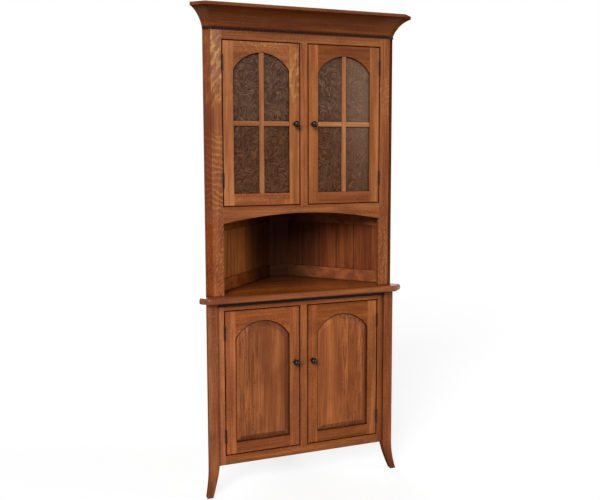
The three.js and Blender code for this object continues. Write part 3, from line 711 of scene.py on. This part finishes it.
UPPER_GAP = {"openings": (OPENINGS["upper"],)}
LOWER_GAP = {"openings": (OPENINGS["lower"],)}
POST_RISE = (1.18, 1.26)
POST_FALL = (1.26, 1.18)
POST_TOP_RISE = (1.70, 1.86)
STILE_SEED = 4.4
BASE_WALL_SEED = 6.1
UPPER_WALL_SEED = 8.3
CORNER_POSTS = {
    "left": {
        "seed": 1.0, "tone": (0.93, 0.99, 1.20), "fleck_colour": srgb(205, 140, 62),
        "figures": (
            (mottle, 0.85, (1.70, 2.02)), (ribs, 0.45, (1.24, 1.59)), (leaves, 0.72, (0.80, 1.22)),
        ),
        "plain": (post_zone(True, *POST_RISE), 0.4),
        "more_tones": (
            (post_zone(True, *POST_RISE), (0.62, 0.47, 0.39)),
            (post_zone(True, *POST_FALL), (0.62, 0.36, 0.18)),
            (post_zone(False, *POST_FALL), (0.88, 0.76, 0.70)),
            # Pale fleck under a painted sheen: the front lighter and bluer towards the top
            (post_zone(False, *POST_TOP_RISE), (1.12, 1.42, 2.1)),
        ),
    },
    "right": {
        "seed": 2.0, "tone": (0.78, 0.78, 0.70),
        "figures": ((leaves, 0.6, (1.66, 1.84)), (ticks, 0.2, None), (leaves, 0.45, (0.90, 1.20))),
        "plain": (beyond_corner, 0.75),
        "more_tones": ((beyond_corner, (0.60, 0.48, 0.40)),),
    },
}
LEG_EASING = 0.003
LEG_TONES = {"left": (0.84, 0.85, 0.97), "right": (0.80, 0.75, 0.62)}
# Painted shade: each foot darker towards the floor
FOOT_TONES = {"left": (0.68, 0.60, 0.52), "right": (0.38, 0.30, 0.21)}
BASE_STILE_TONES = {"left": (1.26, 1.40, 1.46), "right": (0.68, 0.63, 0.50)}
WALL_SHADES = {"left": (0.025, 0.165), "right": NICHE_SHADE}
NICHE_TONES = {"left": (0.99, 1.05, 0.78), "right": (0.55, 0.48, 0.42)}
SKIRTING_TONES = {"left": (0.64, 0.52, 0.42), "right": (1.40, 1.60, 1.90)}
SIDE_SEEDS = {"left": 3.0, "right": 4.0}
BOARD_SEED = 11.0
BOARD_SEED_STEP = 1.3
BOARDS = {
    "upper_centre_stile": ("case", "z", (1.0, 1.06, 0.98), UPPER_GAP),
    "upper_top_rail": ("case", "x", (0.80, 0.82, 0.75), UPPER_GAP),
    "apron_rail": ("case", "x", (0.90, 0.94, 0.86), UPPER_GAP),
    "base_centre_stile": ("base", "z", (0.96, 0.98, 0.85), LOWER_GAP),
    "base_top_rail": ("base", "x", (1.04, 0.94, 0.70), LOWER_GAP),
    "base_bottom_rail": ("base", "x", (0.84, 0.86, 0.64), LOWER_GAP),
    "rear_post": ("inside", "z", (0.8, 0.75, 0.7), {}),
    "upper_back_panel": ("inside", "z", (0.5, 0.46, 0.36), {
        "cross": niche_frame, "deepening": NICHE_SHADE,
    }),
    "base_floor": ("inside", "x", (0.8, 0.75, 0.7), {}),
    "cabinet_floor": ("inside", "x", (0.7, 0.62, 0.55), {}),
    "upper_shelf": ("inside", "x", (0.8, 0.75, 0.7), {}),
    "counter_top": ("case", "x", (0.79, 0.65, 0.34), {
        "easing": 0.003, "gloss": 0.20, "sheen": 0.3, "held": (0.75, 0.95),
        "deepening": COUNTER_SHADE,
    }),
    "top_board": ("case", "x", (0.58, 0.50, 0.46), {}),
    "crown_cove": ("case", "x", (0.81, 0.68, 0.42), {"easing": 0.005, "wear": 0.1}),
}


def dress(node, material):
    """Gives a CAD node its material."""
    slots = nodes[node].data.materials
    slots.clear()
    slots.append(material)


def dress_side(side, seed):
    """The case's boards that come in a left and a right one."""
    post = f"corner_post_{side}"
    dress(post, wood(f"oak_{post}", "case", "z", **CORNER_POSTS[side], **UPPER_GAP))
    dress(f"front_leg_{side}", wood(
        f"oak_leg_{side}", "base", "z", seed, tone=LEG_TONES[side], easing=LEG_EASING,
        more_tones=((foot_shade, FOOT_TONES[side]),)))
    dress(f"base_stile_{side}", wood(
        f"oak_base_stile_{side}", "base", "z", seed + STILE_SEED,
        tone=BASE_STILE_TONES[side], **LOWER_GAP))
    dress(f"base_wall_{side}", wood(
        f"oak_base_wall_{side}", "inside", "z", seed + BASE_WALL_SEED))
    dress(f"upper_wall_{side}", wood(
        f"oak_upper_wall_{side}", "inside", "z", seed + UPPER_WALL_SEED,
        tone=NICHE_TONES[side], cross=niche_frame, deepening=WALL_SHADES[side],
        more_tones=((niche_frame, SKIRTING_TONES[side]),)))


def dress_case():
    """Every board of the case, and the black strip under the counter."""
    for side, seed in SIDE_SEEDS.items():
        dress_side(side, seed)
    for number, (name, (look, grain, tone, changes)) in enumerate(BOARDS.items()):
        seed = BOARD_SEED + BOARD_SEED_STEP * number
        dress(name, wood(f"oak_{name}", look, grain, seed, tone=tone, **changes))
    dress("counter_strip", ebonised("ebonised_counter_strip"))


# The doors

DOOR_SEEDS = {"upper_left": 30.0, "lower_left": 33.5, "upper_right": 37.0, "lower_right": 40.5}
DOOR_SEED_STEP = 0.7
DOOR_LOOKS = {"upper": "door", "lower": "base"}
DOOR_TONES = {
    "upper_left": {
        "hinge_stile": (1.20, 1.41, 1.52), "meeting_stile": (1.00, 1.13, 1.00),
        "top_rail": (0.92, 1.04, 1.04), "bottom_rail": (0.93, 0.93, 0.84),
    },
    "upper_right": {
        "hinge_stile": (1.05, 1.20, 1.08), "meeting_stile": (1.01, 1.08, 0.94),
        "top_rail": (0.65, 0.58, 0.39), "bottom_rail": (0.67, 0.59, 0.48),
    },
    "lower_left": {
        "hinge_stile": (1.15, 1.17, 1.17), "meeting_stile": (0.94, 0.93, 0.82),
        "top_rail": (0.96, 0.89, 0.66), "bottom_rail": (0.75, 0.68, 0.56),
    },
    "lower_right": {
        "hinge_stile": (0.99, 1.01, 0.85), "meeting_stile": (0.89, 0.84, 0.67),
        "top_rail": (0.67, 0.58, 0.32), "bottom_rail": (0.68, 0.61, 0.40),
    },
}
DOOR_FIGURES = {
    "upper_left": {
        "top_rail": ((ticks, 0.5, (1.93, 2.0)), (ticks, 0.2, None)),
        "bottom_rail": ((ticks, 0.3, None),),
        "meeting_stile": ((mottle, 0.5, (1.72, 1.94)),),
    },
    "upper_right": {"bottom_rail": ((ticks, 0.3, None),)},
}
BAR_SEEDS = {"left": 49.0, "right": 51.0}
BAR_TONE = (1.17, 1.50, 1.80)
GLASS_SEEDS = {"left": 1.0, "right": 3.0}
# Where a painted reflection lightens each door's glass, from one distance along the front to
# another
REFLECTION_SPANS = {"left": (0.2, 0.9), "right": (0.10, 0.32)}
PANEL_SEEDS = {"left": 59.0, "right": 61.0}
PANEL_TONES = {"left": (0.93, 0.97, 0.94), "right": (1.06, 1.08, 0.95)}
RAGGED_BANDS = {"left": (-0.31, -0.20), "right": (0.17, 0.31)}
SLOPE_SHARES = {"left": 0.52, "right": 0.40}


def dress_frame(level, side, steel):
    """A door's stiles and rails, its knob, and the hinge halves that stay on the case."""
    door = f"{level}_door_{side}"
    figures = DOOR_FIGURES.get(f"{level}_{side}", {})
    for number, (part, tone) in enumerate(DOOR_TONES[f"{level}_{side}"].items()):
        changes = {"openings": (OPENINGS[level],)}
        if part in figures:
            changes["figures"] = figures[part]
        if part == "hinge_stile":
            changes["metal"] = hinge_halves(FACES[level])
        grain = "x" if part.endswith("rail") else "z"
        seed = DOOR_SEEDS[f"{level}_{side}"] + DOOR_SEED_STEP * number
        dress(f"{door}_{part}", wood(
            f"oak_{door}_{part}", DOOR_LOOKS[level], grain, seed, tone=tone, **changes))
    for part in ("knob", "hinge_top", "hinge_bottom"):
        dress(f"{door}_{part}", steel)


def dress_filling(side):
    """What the two doors of a side hold: glazing bars and glass above, a panel below."""
    low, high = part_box(f"upper_door_{side}_glass")
    knob_low, knob_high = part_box(f"upper_door_{side}_knob")
    crossing = cross_bar((low.x + high.x) / 2, (knob_low.z + knob_high.z) / 2)
    dress(f"upper_door_{side}_glazing_bars", wood(
        f"oak_upper_bars_{side}", "door", "z", BAR_SEEDS[side], tone=BAR_TONE, cross=crossing))
    dress(f"upper_door_{side}_glass", chipped_glass(
        f"glass_{side}", GLASS_SEEDS[side], REFLECTION_SPANS[side]))
    dress(f"lower_door_{side}_panel", wood(
        f"oak_panel_{side}", "panel", "z", PANEL_SEEDS[side], tone=PANEL_TONES[side],
        ragged=RAGGED_BANDS[side], slopes=SLOPE_SHARES[side]))


def dress_doors():
    """All four doors, with their hinges."""
    steel = black_metal("black_metal")
    for side in ("left", "right"):
        for level in FACES:
            dress_frame(level, side, steel)
        dress_filling(side)


# Pieces that the CAD model doesn't have

def linked(name, data):
    """A new object in the scene, for a mesh, a lamp or a camera."""
    made = bpy.data.objects.new(name, data)
    bpy.context.scene.collection.objects.link(made)
    return made


def made_of(mesh, name, material):
    """A new object of the finished bmesh, in its one material."""
    bmesh.ops.recalc_face_normals(mesh, faces=mesh.faces)
    data = bpy.data.meshes.new(name)
    mesh.to_mesh(data)
    mesh.free()
    data.materials.append(material)
    return linked(name, data)


def loft(mesh, rings):
    """Joins rings with the same number of corners into one closed solid."""
    for first, second in zip(rings, rings[1:]):
        for at in range(len(first)):
            after = (at + 1) % len(first)
            mesh.faces.new((first[at], first[after], second[after], second[at]))
    mesh.faces.new(rings[0][::-1])
    mesh.faces.new(rings[-1])


def bead_path():
    """Plan corners of the case that the pearl moulding follows, from left wall to right wall."""
    return [
        Vector((-CASE_HALF - RETURN_RUN, UPPER_FACE + RETURN_RUN, 0.0)),
        Vector((-CASE_HALF, UPPER_FACE, 0.0)),
        Vector((CASE_HALF, UPPER_FACE, 0.0)),
        Vector((CASE_HALF + RETURN_RUN, UPPER_FACE + RETURN_RUN, 0.0)),
    ]


def outward(start, end):
    """The way that a stretch of the moulding faces, level and away from the case."""
    run = (end - start).normalized()
    return Vector((run.y, -run.x, 0.0))


def make_fillet(mesh):
    """The flat that backs the pearls, lipped above and below them, mitred at the corners."""
    path = bead_path()
    normals = [outward(start, end) for start, end in zip(path, path[1:])]
    profile = [
        (FILLET_BACK, BEAD_BOTTOM),
        (FILLET_DEPTH, BEAD_BOTTOM),
        (FILLET_DEPTH, BEAD_BOTTOM + FILLET_LIP),
        (FILLET_LIP, BEAD_BOTTOM + 2 * FILLET_LIP),
        (FILLET_LIP, BEAD_TOP - 2 * FILLET_LIP),
        (FILLET_DEPTH, BEAD_TOP - FILLET_LIP),
        (FILLET_DEPTH, BEAD_TOP),
        (FILLET_BACK, BEAD_TOP),
    ]
    rings = []
    for at, corner in enumerate(path):
        before = normals[max(at - 1, 0)]
        after = normals[min(at, len(normals) - 1)]
        splay = (before + after) / (1 + before.dot(after))
        rings.append([
            mesh.verts.new(corner + splay * out + Vector((0.0, 0.0, level)))
            for out, level in profile
        ])
    loft(mesh, rings)


def make_pearls():
    """One piece: the row of turned pearls on its fillet, round the front and both returns."""
    mesh = bmesh.new()
    make_fillet(mesh)
    path = bead_path()
    for start, end in zip(path, path[1:]):
        normal = outward(start, end)
        run = end - start
        count = round(run.length / PEARL_PITCH)
        for at in range(count):
            centre = start + run * ((at + 0.5) / count) + normal * (FILLET_LIP + PEARL_LIFT)
            centre.z = (BEAD_BOTTOM + BEAD_TOP) / 2
            ball = bmesh.ops.create_uvsphere(
                mesh, u_segments=PEARL_SEGMENTS, v_segments=PEARL_RINGS, radius=PEARL_RADIUS,
                matrix=Matrix.Translation(centre))
            for vert in ball["verts"]:
                for face in vert.link_faces:
                    face.smooth = True
    pearls = made_of(mesh, "crown_pearls", ebonised("ebonised_pearls", behind_pearls))
    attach(pearls, "carcass")
    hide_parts("crown_bead")


def make_glue_lines():
    """One piece: the glue that fills the two mitres at the blunt back corner."""
    corner = Vector((WALL_SUM - BACK_FACE, BACK_FACE, 0.0))
    along = Vector((math.sin(MITRE_TURN), math.cos(MITRE_TURN), 0.0))
    across = Vector((along.y, -along.x, 0.0))
    low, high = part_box("upper_back_panel")
    mesh = bmesh.new()
    for side in (-1, 1):
        rings = []
        for level in (low.z + GLUE_END, high.z - GLUE_END):
            ring = []
            for depth, offset in ((0, 0), (0, 1), (1, 1), (1, 0)):
                place = corner - along * GLUE_DEPTHS[depth] + across * GLUE_ACROSS[offset]
                ring.append(mesh.verts.new((side * place.x, place.y, level)))
            rings.append(ring)
        loft(mesh, rings)
    glue = made_of(mesh, "glue_lines", wood(
        "oak_glue_lines", "inside", "z", GLUE_SEED, tone=GLUE_TONE))
    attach(glue, "carcass")


# Studio and camera

def seen_share(shader):
    """One for the rays that show a background: from the camera, off gloss and through glass."""
    path = shader.add("ShaderNodeLightPath").outputs
    seen = shader.math("MAXIMUM", path["Is Camera Ray"], path["Is Glossy Ray"])
    return shader.math("MAXIMUM", seen, path["Is Transmission Ray"])


def make_world():
    """A world that shows as white, and lights the cupboard only faintly."""
    world = bpy.data.worlds.new("studio")
    bpy.context.scene.world = world
    shader = Shader(world)
    shown = shader.math("MULTIPLY", seen_share(shader), 1.0 - WORLD_LIGHT)
    background = shader.add("ShaderNodeBackground", {
        "Color": (1.0, 1.0, 1.0, 1.0),
        "Strength": shader.math("ADD", WORLD_LIGHT, shown),
    })
    shader.add("ShaderNodeOutputWorld", {"Surface": background.outputs["Background"]})


def make_floor():
    """A white floor that keeps the cupboard's shadow."""
    half = FLOOR_SIZE / 2
    data = bpy.data.meshes.new("studio_floor")
    corners = [(-half, -half, 0), (half, -half, 0), (half, half, 0), (-half, half, 0)]
    data.from_pydata(corners, [], [(0, 1, 2, 3)])
    floor = linked("studio_floor", data)
    shader = new_shader("studio_floor")
    glow = shader.math("MULTIPLY", seen_share(shader), FLOOR_GLOW)
    paint = shader.add("ShaderNodeBsdfDiffuse", {"Color": FLOOR_COLOUR})
    light = shader.add("ShaderNodeEmission", {"Strength": glow})
    both = shader.add("ShaderNodeAddShader", {
        0: paint.outputs["BSDF"],
        1: light.outputs["Emission"],
    })
    data.materials.append(shader.finish(both.outputs["Shader"]))


def make_light(name, azimuth, elevation, spread, strength):
    """A wide, distant lamp, placed by the direction that its light comes from."""
    lamp = bpy.data.lights.new(name, "SUN")
    lamp.energy = strength
    lamp.angle = math.radians(spread)
    turn = math.radians(azimuth)
    lift = math.radians(elevation)
    level = math.cos(lift)
    source = Vector((math.sin(turn) * level, -math.cos(turn) * level, math.sin(lift)))
    linked(name, lamp).rotation_euler = (-source).to_track_quat("-Z", "Y").to_euler()


def make_camera():
    """The camera from which the photograph was taken, as the fit gives it."""
    turn = math.radians(CAMERA_AZIMUTH)
    pitch = math.radians(CAMERA_PITCH)
    roll = math.radians(CAMERA_ROLL)
    level = math.cos(pitch)
    forward = Vector((math.sin(turn) * level, math.cos(turn) * level, -math.sin(pitch)))
    right = Vector((math.cos(turn), -math.sin(turn), 0.0))
    up = right.cross(forward)
    rolled_right = right * math.cos(roll) + up * math.sin(roll)
    rolled_up = up * math.cos(roll) - right * math.sin(roll)
    data = bpy.data.cameras.new("photo_camera")
    data.sensor_width = SENSOR_WIDTH
    data.lens = LENS
    data.shift_x, data.shift_y = SHIFT
    camera = linked("photo_camera", data)
    turned_axes = Matrix((rolled_right, rolled_up, -forward)).transposed().to_4x4()
    camera.matrix_world = Matrix.Translation(CAMERA_PLACE) @ turned_axes
    bpy.context.scene.camera = camera


make_camera()
dress_case()
dress_doors()
make_pearls()
make_glue_lines()
make_world()
make_floor()
make_light("key_light", **KEY_LIGHT)
make_light("fill_light", **FILL_LIGHT)
make_light("back_light", **BACK_LIGHT)
bpy.context.scene.view_settings.view_transform = "Standard"
